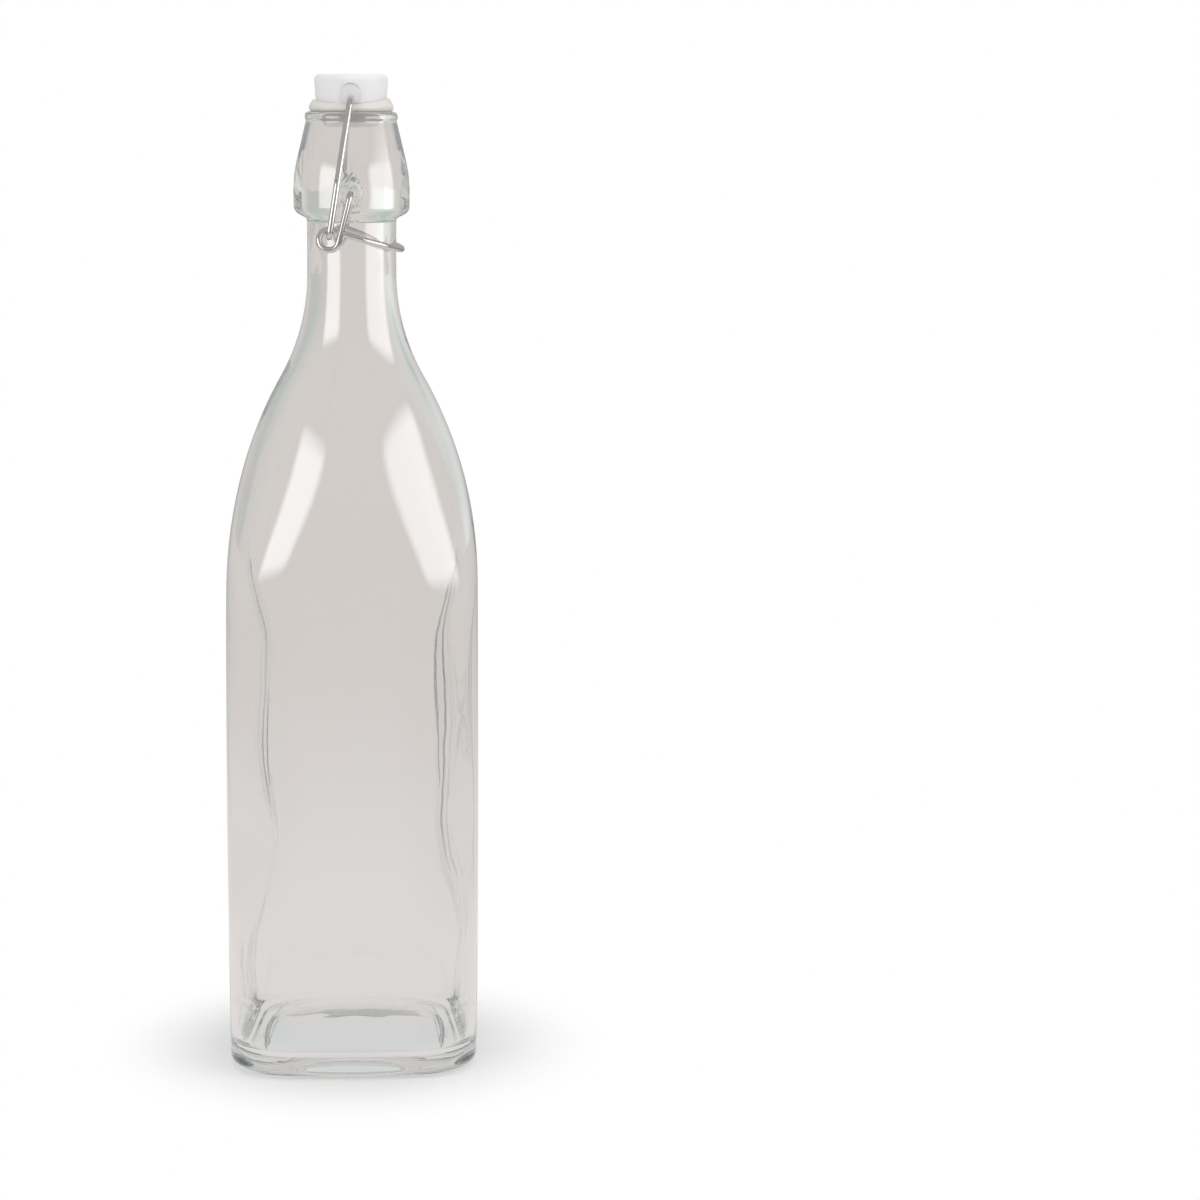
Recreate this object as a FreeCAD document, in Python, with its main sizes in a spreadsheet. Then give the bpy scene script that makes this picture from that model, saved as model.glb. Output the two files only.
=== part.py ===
import FreeCAD, Part
import math
import os
import Sketcher

# One litre square bottle with a wire swing top, millimetres, standing on z = 0 with its axis on z.
# The pivot dimples lie at the front (-y) and the back (+y), the lever's bow lies at +x.

doc = FreeCAD.newDocument("swing_top_bottle")
sheet = doc.addObject("Spreadsheet::Sheet", "Sizes")

# Driving dimensions: name, value, what it measures
driving = [
    ("body_width", 80.0, "square body across its flats"),
    ("body_corner", 19.0, "plan radius of the body's corners"),
    ("body_height", 155.0, "base to the start of the shoulder"),
    ("body_swell", 0.4, "how far the sides swell at half height"),
    ("flat_bow", 2.0, "half angle of the gentle arc across each flat, degrees"),
    ("heel_radius", 4.0, "outer radius round the base"),
    ("wall", 3.0, "glass thickness of the body"),
    ("floor_thickness", 6.0, "glass thickness of the base"),
    ("inner_heel", 3.0, "inner radius round the base"),
    ("inner_corner", 23.0, "plan radius of the corners inside, where the glass is thicker"),
    ("floor_crown", 4.5, "rise of the floor at its centre"),
    ("floor_margin", 1.0, "floor crown's edge to the inner heel"),
    ("punt_width", 52.0, "square hollow under the base across its sides"),
    ("punt_corner", 7.0, "plan radius of the hollow's corners"),
    ("punt_depth", 5.0, "depth of the hollow at its centre"),
    ("punt_edge", 2.2, "depth of the hollow at the middle of its sides"),
    ("shoulder_height", 98.6, "height of the shoulder curve"),
    ("shoulder_balance", 0.667, "share of the shoulder that bends outward"),
    ("neck_radius", 14.1, "outer radius of the neck"),
    ("neck_length", 17.0, "straight neck below the collar"),
    ("mouth_radius", 10.4, "radius of the bore"),
    ("mouth_chamfer", 0.8, "bevel of the bore at the rim"),
    ("collar_radius", 18.3, "largest radius of the collar"),
    ("collar_height", 30.8, "collar from the neck to the rim bead"),
    ("collar_rise", 2.2, "rise of the collar's underside"),
    ("collar_band", 11.4, "height of the upright part of the collar"),
    ("collar_top_radius", 14.2, "collar radius under the rim bead"),
    ("collar_round", 3.0, "round of the collar's lower edge"),
    ("collar_blend", 43.0, "blend between the collar's band and cone"),
    ("neck_blend", 1.4, "blend of the neck into the collar"),
    ("rim_radius", 14.6, "radius of the rim bead"),
    ("rim_height", 2.6, "height of the rim bead"),
    ("rim_round", 1.4, "round of the rim's outer edge"),
    ("bead_round", 0.3, "round under the rim bead"),
    ("pivot_drop", 25.0, "rim down to the lever's pivot"),
    ("dimple_radius", 3.5, "dimple radius at the collar's face"),
    ("dimple_depth", 3.2, "depth of the dimple's cone"),
    ("pilot_depth", 5.2, "depth of the pivot hole from the collar's face"),
    ("pin_clearance", 0.25, "radial room of a wire end in its seat"),
    ("wire_diameter", 2.0, "steel wire"),
    ("wire_gap", 0.4, "room between wires that pass each other"),
    ("leg_gap", 0.5, "room between the lever's legs and the collar"),
    ("eye_radius", 3.1, "centre line radius of the lever's eyes"),
    ("eye_offset", 6.7, "eye centre beside the pivot"),
    ("eye_drop", 14.25, "eye centre below the pivot"),
    ("arm_slope", 17.0, "fall of the lever's arms, degrees"),
    ("bow_room", 2.4, "neck to the centre line of the lever's bow"),
    ("tip_bend", 2.0, "centre line radius of the bend at the lever's tips"),
    ("hook_bend", 2.0, "centre line radius of the bail's hooks"),
    ("hook_reach", 5.9, "length of the bail's hooks"),
    ("bail_bend", 2.5, "centre line radius of the bail's upper bends"),
    ("bail_overhang", 1.2, "bail's upper corner beyond the rim bead"),
    ("bail_elbow", 2.5, "elbow of the bail's legs above the pivot"),
    ("elbow_bend", 20.0, "centre line radius of the bail's elbow"),
    ("gasket_thickness", 1.5, "gasket flange between rim and stopper"),
    ("gasket_radius", 13.4, "outer radius of the gasket's flange"),
    ("gasket_top_radius", 12.2, "outer radius of the gasket's lip"),
    ("gasket_lip", 1.3, "lip of the gasket up the stopper's side"),
    ("gasket_sleeve", 9.5, "radius of the gasket in the mouth"),
    ("gasket_round", 0.5, "round of the gasket's edges"),
    ("seat_gap", 0.1, "room between pieces that sit on each other"),
    ("head_height", 10.0, "stopper's head"),
    ("head_radius", 11.7, "head radius at the top"),
    ("head_low_radius", 11.0, "head radius at the gasket"),
    ("head_round", 1.7, "round of the head's top edge"),
    ("hole_radius", 2.6, "cross hole of the stopper"),
    ("hole_floor", 1.4, "plastic below the cross hole"),
    ("flare_radius", 3.7, "mouth of the cross hole"),
    ("flare_depth", 2.2, "depth of the cross hole's flare"),
    ("stem_radius", 8.0, "stopper's stem inside the gasket"),
    ("plug_radius", 8.9, "flange at the foot of the stem"),
    ("plug_depth", 5.2, "rim down to the foot of the stem"),
    ("plug_flange", 2.2, "height of the flange at the foot of the stem"),
]
for row, (alias, value, note) in enumerate(driving, start=1):
    sheet.set("A%d" % row, alias)
    sheet.set("B%d" % row, str(value))
    sheet.setAlias("B%d" % row, alias)
    sheet.set("C%d" % row, note)
doc.recompute()
size = {alias: float(sheet.get(alias)) for alias, value, note in driving}

# Heights and depths that several pieces share, as sheet expressions and as numbers
collar_start_text = "Sizes.body_height + Sizes.shoulder_height + Sizes.neck_length"
rim_base_text = collar_start_text + " + Sizes.collar_height"
rim_text = rim_base_text + " + Sizes.rim_height"
pivot_text = rim_text + " - Sizes.pivot_drop"
head_base_text = rim_text + " + Sizes.gasket_thickness"
hole_text = head_base_text + " + Sizes.hole_floor + Sizes.hole_radius"
neck_middle_text = "Sizes.body_height + Sizes.shoulder_height + Sizes.neck_length / 2"
punt_drop_text = "(Sizes.punt_depth - Sizes.punt_edge)"
punt_dome_text = "((Sizes.punt_width / 2) ^ 2 + %s ^ 2) / (2 * %s)" % (punt_drop_text, punt_drop_text)
floor_reach_text = "(Sizes.body_width / 2 - Sizes.wall - Sizes.inner_heel - Sizes.floor_margin)"
floor_dome_text = "(%s ^ 2 + Sizes.floor_crown ^ 2) / (2 * Sizes.floor_crown)" % floor_reach_text

neck_start = size["body_height"] + size["shoulder_height"]
neck_middle = neck_start + size["neck_length"] / 2
rim_level = neck_start + size["neck_length"] + size["collar_height"] + size["rim_height"]
pivot_level = rim_level - size["pivot_drop"]
wire_radius = size["wire_diameter"] / 2
bar_level = rim_level + size["gasket_thickness"] + size["hole_floor"] + size["seat_gap"] + wire_radius

# Layers of the wires, counted outward from the collar
leg_depth = size["collar_radius"] + size["leg_gap"] + wire_radius
arm_depth = leg_depth - size["wire_diameter"] - size["wire_gap"]
bail_depth = leg_depth + size["wire_diameter"] + size["wire_gap"]
tip_depth = size["collar_radius"] - size["pilot_depth"] + size["pin_clearance"]


def vector(x, y, z):
    return FreeCAD.Vector(x, y, z)


# Outline of the bottle: half width and wall at a level, and the steps of its lofts
side_steps = 4
shoulder_steps = 12


def half_width(level):
    half = size["body_width"] / 2
    if level <= size["body_height"]:
        return half + size["body_swell"] * math.sin(math.pi * level / size["body_height"])
    if level >= neck_start:
        return size["neck_radius"]
    # Two tangent arcs that start and end upright share the shoulder
    fall = half - size["neck_radius"]
    rise = size["shoulder_height"]
    radius_sum = (rise ** 2 + fall ** 2) / (2 * fall)
    outer_radius = radius_sum * size["shoulder_balance"]
    inner_radius = radius_sum - outer_radius
    above = level - size["body_height"]
    if above <= rise * size["shoulder_balance"]:
        return half - outer_radius + math.sqrt(outer_radius ** 2 - above ** 2)
    below = rise - above
    return size["neck_radius"] + inner_radius - math.sqrt(inner_radius ** 2 - below ** 2)


def wall_at(level):
    share = (level - size["body_height"]) / size["shoulder_height"]
    neck_wall = size["neck_radius"] - size["mouth_radius"]
    return size["wall"] + (neck_wall - size["wall"]) * min(max(share, 0.0), 1.0)


def square_section(level, half, corner):
    # Four bowed flats and four corner arcs, all tangent, that turn into a circle at the neck
    corner = min(half, corner)
    bow = math.radians(size["flat_bow"])
    lean = math.cos(bow) - math.sin(bow)
    flat = (half - corner * lean) / (1 - lean)
    flat_centre = (half - flat, 0.0)
    corner_place = (flat - corner) * math.sin(bow)
    corner_centre = (corner_place, corner_place)
    edges = []
    for quarter in range(4):
        turn = quarter * math.pi / 2
        for centre, radius, start, end in (
            (flat_centre, flat, -bow, bow),
            (corner_centre, corner, bow, math.pi / 2 - bow),
        ):
            points = []
            for angle in (start, (start + end) / 2, end):
                x = centre[0] + radius * math.cos(angle)
                y = centre[1] + radius * math.sin(angle)
                x_turned = x * math.cos(turn) - y * math.sin(turn)
                y_turned = x * math.sin(turn) + y * math.cos(turn)
                points.append(vector(x_turned, y_turned, level))
            edges.append(Part.Arc(*points).toShape())
    return Part.Wire(edges)


def section_loft(name, start, end, steps, inset, corner):
    # Few even steps keep the loft from swaying between the sections
    sections = []
    for number in range(steps + 1):
        level = start + (end - start) * number / steps
        depth = wall_at(level) if inset else 0.0
        section = doc.addObject("Part::Feature", "%s_section_%d" % (name, number))
        section.Shape = square_section(level, half_width(level) - depth, corner)
        sections.append(section)
    loft = doc.addObject("Part::Loft", name)
    loft.Sections = sections
    loft.Solid = True
    loft.Ruled = False
    return loft


def round_edges(source, name, radius_alias, wanted):
    # Rounds every edge of the source that the test wants
    doc.recompute()
    fillet = doc.addObject("Part::Fillet", name)
    fillet.Base = source
    radius = size[radius_alias]
    fillet.Edges = [
        (index, radius, radius)
        for index, edge in enumerate(source.Shape.Edges, start=1)
        if wanted(edge)
    ]
    return fillet


def edge_is_level(edge, level):
    box = edge.BoundBox
    return abs(box.ZMin - level) < 0.01 and abs(box.ZMax - level) < 0.01


# Bodies that are turned about the bottle's axis

def origin_part(body, role):
    return next(part for part in body.Origin.OriginFeatures if part.Role == role)


def turned_body(name, corners):
    # A revolution of a closed outline, each corner given as two sheet expressions
    body = doc.addObject("PartDesign::Body", name)
    sketch = body.newObject("Sketcher::SketchObject", name + "_outline")
    sketch.AttachmentSupport = [(origin_part(body, "XZ_Plane"), "")]
    sketch.MapMode = "FlatFace"
    count = len(corners)
    for number in range(count):
        turn = 2 * math.pi * number / count
        next_turn = 2 * math.pi * (number + 1) / count
        start = vector(20 - 10 * math.cos(turn), 300 - 10 * math.sin(turn), 0)
        end = vector(20 - 10 * math.cos(next_turn), 300 - 10 * math.sin(next_turn), 0)
        sketch.addGeometry(Part.LineSegment(start, end), False)
    for number in range(count):
        sketch.addConstraint(Sketcher.Constraint("Coincident", number, 2, (number + 1) % count, 1))
    for number, (across, up) in enumerate(corners):
        if across == "0":
            sketch.addConstraint(Sketcher.Constraint("PointOnObject", number, 1, -2))
        else:
            index = sketch.addConstraint(Sketcher.Constraint("DistanceX", -1, 1, number, 1, 10.0))
            sketch.setExpression("Constraints[%d]" % index, across)
        index = sketch.addConstraint(Sketcher.Constraint("DistanceY", -1, 1, number, 1, 300.0))
        sketch.setExpression("Constraints[%d]" % index, up)
    turned = body.newObject("PartDesign::Revolution", name + "_turned")
    turned.Profile = sketch
    turned.ReferenceAxis = (sketch, ["V_Axis"])
    turned.Angle = 360
    doc.recompute()
    return body


def round_corners(body, name, radius_alias, rings):
    # Rounds the full circles at the given radii and levels
    base = body.Tip
    names = []
    for index, edge in enumerate(base.Shape.Edges, start=1):
        if not isinstance(edge.Curve, Part.Circle):
            continue
        for radius, level in rings:
            if abs(edge.Curve.Radius - radius) < 0.01 and edge_is_level(edge, level):
                names.append("Edge%d" % index)
    fillet = body.newObject("PartDesign::Fillet", name)
    fillet.Base = (base, names)
    fillet.setExpression("Radius", "Sizes." + radius_alias)
    body.Tip = fillet
    doc.recompute()


# Wires: a path of straight runs and tangent arcs, swept with a round section

def bend_path(points, radii):
    # Moves along the points with every inner corner rounded by its radius
    moves = []
    here = points[0]
    for corner, after, radius in zip(points[1:-1], points[2:], radii):
        before_way = (corner - here).normalize()
        after_way = (after - corner).normalize()
        half_turn = before_way.getAngle(after_way) / 2
        reach = radius * math.tan(half_turn)
        start = corner - before_way * reach
        end = corner + after_way * reach
        inward = (after_way - before_way).normalize()
        middle = corner + inward * (radius / math.cos(half_turn) - radius)
        moves.append((here, start))
        moves.append((start, middle, end))
        here = end
    moves.append((here, points[-1]))
    return moves


def arc_move(start, way, end):
    # The arc that leaves the start along the way and reaches the end
    chord = end - start
    along = chord * (1 / chord.Length)
    aside = (way - along * way.dot(along)).normalize()
    sagitta = chord.Length / 2 * math.tan(way.getAngle(along) / 2)
    return (start, (start + end) * 0.5 + aside * sagitta, end)


def biarc(start, start_way, end, end_way):
    # Two arcs with a common tangent between two points with given tangents
    span = end - start
    both = start_way + end_way
    open_share = 2 * (1 - start_way.dot(end_way))
    reach = (math.sqrt(span.dot(both) ** 2 + open_share * span.dot(span)) - span.dot(both)) / open_share
    joint = (start + end + (start_way - end_way) * reach) * 0.5
    first = arc_move(start, start_way, joint)
    last = arc_move(end, end_way * -1, joint)
    return [first, (joint, last[1], end)]


def mirrored(moves):
    # The same moves at the bottle's other side, walked backwards
    flipped = []
    for move in reversed(moves):
        flipped.append(tuple(vector(point.x, -point.y, point.z) for point in reversed(move)))
    return flipped


def swept_wire(label, moves):
    edges = []
    for move in moves:
        if len(move) == 2:
            edges.append(Part.LineSegment(*move).toShape())
        else:
            edges.append(Part.Arc(*move).toShape())
    path = doc.addObject("Part::Feature", label + "_path")
    path.Shape = Part.Wire(edges)
    section = doc.addObject("Part::Circle", label + "_section")
    section.setExpression("Radius", "Sizes.wire_diameter / 2")
    section.Placement = FreeCAD.Placement(moves[0][0], FreeCAD.Rotation(vector(1, 0, 0), 90))
    wire = doc.addObject("Part::Sweep", label)
    wire.Label = label
    wire.Sections = [section]
    wire.Spine = (path, [])
    wire.Solid = True
    wire.Frenet = False
    doc.recompute()
    expected = math.pi * wire_radius ** 2 * path.Shape.Length
    print(label, "volume", round(wire.Shape.Volume, 2), "section times length", round(expected, 2))
    return wire


# Glass bottle: square lofts outside and inside, turned finish, hollow base and pivot dimples

def make_bottle():
    top = size["body_height"]
    floor = size["floor_thickness"]
    corner = size["body_corner"]
    inner_corner = size["inner_corner"]
    sides = section_loft("outer_sides", 0.0, top, side_steps, False, corner)
    outer = round_edges(sides, "outer_heel", "heel_radius", lambda edge: edge_is_level(edge, 0.0))
    shoulder = section_loft("outer_shoulder", top, neck_middle, shoulder_steps, False, corner)
    inner_sides = section_loft("inner_sides", floor, top, side_steps, True, inner_corner)
    inner = round_edges(
        inner_sides, "inner_heel_round", "inner_heel", lambda edge: edge_is_level(edge, floor)
    )
    inner_shoulder = section_loft("inner_shoulder", top, neck_middle, shoulder_steps, True, inner_corner)

    finish = turned_body("finish", [
        ("0", neck_middle_text),
        ("Sizes.neck_radius", neck_middle_text),
        ("Sizes.neck_radius", collar_start_text),
        ("Sizes.collar_radius", collar_start_text + " + Sizes.collar_rise"),
        ("Sizes.collar_radius", collar_start_text + " + Sizes.collar_rise + Sizes.collar_band"),
        ("Sizes.collar_top_radius", rim_base_text),
        ("Sizes.rim_radius", rim_base_text),
        ("Sizes.rim_radius", rim_text),
        ("0", rim_text),
    ])
    collar_start = neck_start + size["neck_length"]
    collar_low = collar_start + size["collar_rise"]
    collar_high = collar_low + size["collar_band"]
    rim_base = rim_level - size["rim_height"]
    round_corners(finish, "collar_shoulder", "collar_blend", [(size["collar_radius"], collar_high)])
    round_corners(finish, "collar_edge", "collar_round", [(size["collar_radius"], collar_low)])
    round_corners(finish, "neck_root", "neck_blend", [(size["neck_radius"], collar_start)])
    round_corners(finish, "rim_edge", "rim_round", [(size["rim_radius"], rim_level)])
    round_corners(finish, "bead_edge", "bead_round", [(size["rim_radius"], rim_base)])

    bore = turned_body("bore", [
        ("0", neck_middle_text),
        ("Sizes.mouth_radius", neck_middle_text),
        ("Sizes.mouth_radius", rim_text + " - Sizes.mouth_chamfer"),
        ("Sizes.mouth_radius + 2 * Sizes.mouth_chamfer", rim_text + " + Sizes.mouth_chamfer"),
        ("0", rim_text + " + Sizes.mouth_chamfer"),
    ])

    # Under the base a square hollow with a domed roof, inside a floor that crowns over it
    block = doc.addObject("Part::Box", "punt_block")
    for side in ("Length", "Width"):
        block.setExpression(side, "Sizes.punt_width")
    block.setExpression("Height", "2 * Sizes.punt_depth")
    block.setExpression("Placement.Base.x", "-Sizes.punt_width / 2")
    block.setExpression("Placement.Base.y", "-Sizes.punt_width / 2")
    block.setExpression("Placement.Base.z", "-Sizes.punt_depth")
    rounded = round_edges(
        block, "punt_sides", "punt_corner", lambda edge: edge.BoundBox.ZLength > size["punt_depth"]
    )
    roof = doc.addObject("Part::Sphere", "punt_roof")
    roof.setExpression("Radius", punt_dome_text)
    roof.setExpression("Placement.Base.z", "Sizes.punt_depth - (%s)" % punt_dome_text)
    punt = doc.addObject("Part::Common", "punt")
    punt.Base = rounded
    punt.Tool = roof
    dome = doc.addObject("Part::Sphere", "floor_dome")
    dome.setExpression("Radius", floor_dome_text)
    dome.setExpression(
        "Placement.Base.z", "Sizes.floor_thickness + Sizes.floor_crown - (%s)" % floor_dome_text
    )
    space = doc.addObject("Part::Cut", "inner_space")
    space.Base = inner
    space.Tool = dome

    solid = doc.addObject("Part::MultiFuse", "outer_solid")
    solid.Shapes = [outer, shoulder, finish]

    dimples = []
    for side, turn in (("front", 90), ("back", -90)):
        way = 1 if turn < 0 else -1
        cone = doc.addObject("Part::Cone", side + "_dimple")
        cone.setExpression("Radius1", "Sizes.wire_diameter / 2 + Sizes.pin_clearance")
        cone.setExpression("Radius2", "Sizes.dimple_radius")
        cone.setExpression("Height", "Sizes.dimple_depth")
        cone.Placement = FreeCAD.Placement(vector(0, 0, 0), FreeCAD.Rotation(vector(1, 0, 0), turn))
        cone.setExpression("Placement.Base.y", "%d * (Sizes.collar_radius - Sizes.dimple_depth)" % way)
        cone.setExpression("Placement.Base.z", pivot_text)
        pilot = doc.addObject("Part::Cylinder", side + "_pilot")
        pilot.setExpression("Radius", "Sizes.wire_diameter / 2 + Sizes.pin_clearance")
        pilot.setExpression("Height", "Sizes.pilot_depth")
        pilot.Placement = FreeCAD.Placement(vector(0, 0, 0), FreeCAD.Rotation(vector(1, 0, 0), turn))
        pilot.setExpression("Placement.Base.y", "%d * (Sizes.collar_radius - Sizes.pilot_depth)" % way)
        pilot.setExpression("Placement.Base.z", pivot_text)
        dimples += [cone, pilot]

    tools = doc.addObject("Part::MultiFuse", "hollows")
    tools.Shapes = [space, inner_shoulder, bore, punt] + dimples
    bottle = doc.addObject("Part::Cut", "glass_bottle")
    bottle.Base = solid
    bottle.Tool = tools
    bottle.Label = "glass_bottle"
    return bottle


# Stopper: turned head, stem and plug with a flared cross hole for the bail

def make_stopper():
    foot = rim_text + " - Sizes.plug_depth"
    body = turned_body("stopper", [
        ("0", foot),
        ("Sizes.plug_radius", foot),
        ("Sizes.plug_radius", foot + " + Sizes.plug_flange"),
        ("Sizes.stem_radius", foot + " + Sizes.plug_flange"),
        ("Sizes.stem_radius", head_base_text),
        ("Sizes.head_low_radius", head_base_text),
        ("Sizes.head_radius", head_base_text + " + Sizes.head_height"),
        ("0", head_base_text + " + Sizes.head_height"),
    ])
    body.Label = "stopper"
    top = rim_level + size["gasket_thickness"] + size["head_height"]
    round_corners(body, "head_edge", "head_round", [(size["head_radius"], top)])

    plane = origin_part(body, "XZ_Plane")
    sketch = body.newObject("Sketcher::SketchObject", "cross_hole_outline")
    sketch.AttachmentSupport = [(plane, "")]
    sketch.MapMode = "FlatFace"
    hole_level = bar_level - wire_radius - size["seat_gap"] + size["hole_radius"]
    centre = vector(0, hole_level, 0)
    sketch.addGeometry(Part.Circle(centre, vector(0, 0, 1), size["hole_radius"]), False)
    sketch.addConstraint(Sketcher.Constraint("PointOnObject", 0, 3, -2))
    index = sketch.addConstraint(Sketcher.Constraint("DistanceY", -1, 1, 0, 3, hole_level))
    sketch.setExpression("Constraints[%d]" % index, hole_text)
    index = sketch.addConstraint(Sketcher.Constraint("Radius", 0, size["hole_radius"]))
    sketch.setExpression("Constraints[%d]" % index, "Sizes.hole_radius")
    hole = body.newObject("PartDesign::Pocket", "cross_hole")
    hole.Profile = sketch
    hole.Type = 1
    hole.Midplane = True
    body.Tip = hole
    doc.recompute()

    # The plane's normal points to the front, so the flare opens toward -y
    flare = body.newObject("PartDesign::SubtractiveCone", "front_flare")
    flare.AttachmentSupport = [(plane, "")]
    flare.MapMode = "FlatFace"
    flare.setExpression("AttachmentOffset.Base.y", hole_text)
    flare.setExpression("AttachmentOffset.Base.z", "Sizes.head_radius - Sizes.flare_depth")
    flare.setExpression("Radius1", "Sizes.hole_radius")
    flare.setExpression("Radius2", "Sizes.flare_radius")
    flare.setExpression("Height", "Sizes.flare_depth")
    body.Tip = flare
    doc.recompute()
    both = body.newObject("PartDesign::Mirrored", "back_flare")
    both.Originals = [flare]
    both.MirrorPlane = (plane, [""])
    body.Tip = both
    doc.recompute()
    return body


# Gasket: a sleeve in the mouth, a flange on the rim and a lip round the stopper's head

def make_gasket():
    bore = "Sizes.stem_radius + Sizes.seat_gap"
    foot = rim_text + " - Sizes.plug_depth + Sizes.plug_flange"
    under = rim_text + " + Sizes.seat_gap"
    body = turned_body("gasket", [
        (bore, foot),
        ("Sizes.plug_radius", foot),
        ("Sizes.gasket_sleeve", under),
        ("Sizes.gasket_radius", under),
        ("Sizes.gasket_radius", head_base_text),
        ("Sizes.gasket_top_radius", head_base_text + " + Sizes.gasket_lip"),
        ("Sizes.head_low_radius + 2 * Sizes.seat_gap", head_base_text + " + Sizes.gasket_lip"),
        ("Sizes.head_low_radius + Sizes.seat_gap", head_base_text),
        (bore, head_base_text),
    ])
    body.Label = "gasket"
    lip = rim_level + size["gasket_thickness"] + size["gasket_lip"]
    rings = [(size["gasket_radius"], rim_level + size["seat_gap"]), (size["gasket_top_radius"], lip)]
    round_corners(body, "gasket_edges", "gasket_round", rings)
    return body


# Lever wire: tips in the dimples, legs, eyes of three quarters of a turn, arms and bow

def eye_centre():
    return vector(-size["eye_offset"], 0, pivot_level - size["eye_drop"])


def eye_point(heading, share):
    # A point and the direction of travel on the eye, which steps inward from leg to arm
    step = leg_depth - arm_depth
    centre = eye_centre()
    x = centre.x - size["eye_radius"] * math.sin(heading)
    z = centre.z + size["eye_radius"] * math.cos(heading)
    y = -leg_depth + step * share * share * (3 - 2 * share)
    return vector(x, y, z)


def make_lever():
    centre = eye_centre()
    reach = math.hypot(size["eye_offset"], size["eye_drop"])
    toward = math.atan2(-size["eye_drop"], -size["eye_offset"])
    first_heading = toward + math.asin(size["eye_radius"] / reach)
    last_heading = -2 * math.pi - math.radians(size["arm_slope"])
    sweep = last_heading - first_heading

    tip = vector(0, -tip_depth, pivot_level)
    corner = vector(0, -leg_depth, pivot_level)
    eye_start = eye_point(first_heading, 0.0)
    half = bend_path([tip, corner, eye_start], [size["tip_bend"]])

    turns = 3
    step = leg_depth - arm_depth
    nodes = []
    for number in range(turns + 1):
        share = number / turns
        heading = first_heading + sweep * share
        slope = step * 6 * share * (1 - share) / (abs(sweep) * size["eye_radius"])
        way = vector(math.cos(heading), slope, math.sin(heading)).normalize()
        nodes.append((eye_point(heading, share), way))
    for (start, start_way), (end, end_way) in zip(nodes[:-1], nodes[1:]):
        half += biarc(start, start_way, end, end_way)

    slope = math.radians(size["arm_slope"])
    arm_way = vector(math.cos(slope), 0, -math.sin(slope))
    eye_end = nodes[-1][0]
    bow_offset = size["neck_radius"] + size["bow_room"] - arm_depth
    run = (bow_offset - eye_end.x) / arm_way.x
    bow_start = eye_end + arm_way * run
    half.append((eye_end, bow_start))

    bow_centre = vector(bow_start.x, 0, bow_start.z)
    eighth = math.sqrt(0.5)
    bow_middle = bow_centre + (arm_way * eighth - vector(0, eighth, 0)) * arm_depth
    bow_end = bow_centre + arm_way * arm_depth
    half.append((bow_start, bow_middle, bow_end))
    return swept_wire("lever_wire", half + mirrored(half))


# Bail wire: hooks in the lever's eyes, legs with an elbow clear of the lever, bar through the stopper

def hook_place():
    # The hook hangs in the eye on the side that the stopper pulls it to
    centre = eye_centre()
    bar = vector(0, 0, bar_level)
    pull = (bar - centre).normalize()
    room = size["eye_radius"] - size["wire_diameter"] - size["seat_gap"]
    return centre + pull * room


def make_bail():
    hook = hook_place()
    bar = vector(0, 0, bar_level)
    up = (bar - hook).normalize()
    elbow_rise = (pivot_level + size["bail_elbow"] - hook.z) / up.z
    corner_depth = size["rim_radius"] + size["bail_overhang"]
    hook_tip = hook - vector(0, bail_depth - size["hook_reach"], 0)
    hook_corner = hook - vector(0, bail_depth, 0)
    elbow = hook_corner + up * elbow_rise
    top_corner = bar - vector(0, corner_depth, 0)
    points = [hook_tip, hook_corner, elbow, top_corner, bar]
    half = bend_path(points, [size["hook_bend"], size["elbow_bend"], size["bail_bend"]])
    return swept_wire("bail_wire", half + mirrored(half))


nodes = [make_bottle(), make_stopper(), make_gasket(), make_lever(), make_bail()]
doc.recompute()

for item in doc.Objects:
    if "Invalid" in item.State or "Error" in item.State:
        raise RuntimeError("%s failed to build" % item.Label)
for node in nodes:
    if node.Shape.isNull() or not node.Shape.isValid():
        raise RuntimeError("%s has no valid shape" % node.Label)

os.makedirs("parts", exist_ok=True)
for node in nodes:
    node.Shape.exportStep("parts/%s.step" % node.Label)
    box = node.Shape.BoundBox
    print(node.Label, "solids", len(node.Shape.Solids), "volume", round(node.Shape.Volume, 1))
    print("  x %.2f %.2f y %.2f %.2f z %.2f %.2f" % (
        box.XMin, box.XMax, box.YMin, box.YMax, box.ZMin, box.ZMax))

hook = hook_place()
print("pivot level", round(pivot_level, 3), "hook", round(hook.x, 3), round(hook.z, 3))
print("bar level", round(bar_level, 3), "rim level", round(rim_level, 3))
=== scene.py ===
import math
import bpy
import numpy as np
from mathutils import Matrix, Vector


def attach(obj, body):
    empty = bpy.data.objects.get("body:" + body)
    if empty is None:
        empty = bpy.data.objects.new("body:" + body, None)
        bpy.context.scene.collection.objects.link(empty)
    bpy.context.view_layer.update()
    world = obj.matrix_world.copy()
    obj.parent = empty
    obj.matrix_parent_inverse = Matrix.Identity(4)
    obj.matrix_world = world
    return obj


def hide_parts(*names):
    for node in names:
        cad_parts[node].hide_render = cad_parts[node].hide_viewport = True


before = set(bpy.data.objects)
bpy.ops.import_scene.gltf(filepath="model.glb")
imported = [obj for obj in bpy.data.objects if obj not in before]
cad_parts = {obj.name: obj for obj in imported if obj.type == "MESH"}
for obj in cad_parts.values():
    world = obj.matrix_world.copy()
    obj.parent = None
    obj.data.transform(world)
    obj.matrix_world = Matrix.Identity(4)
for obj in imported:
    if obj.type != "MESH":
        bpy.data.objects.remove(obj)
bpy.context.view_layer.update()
mm = 0.001
print("frame loaded")


# mesh helpers

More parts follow.
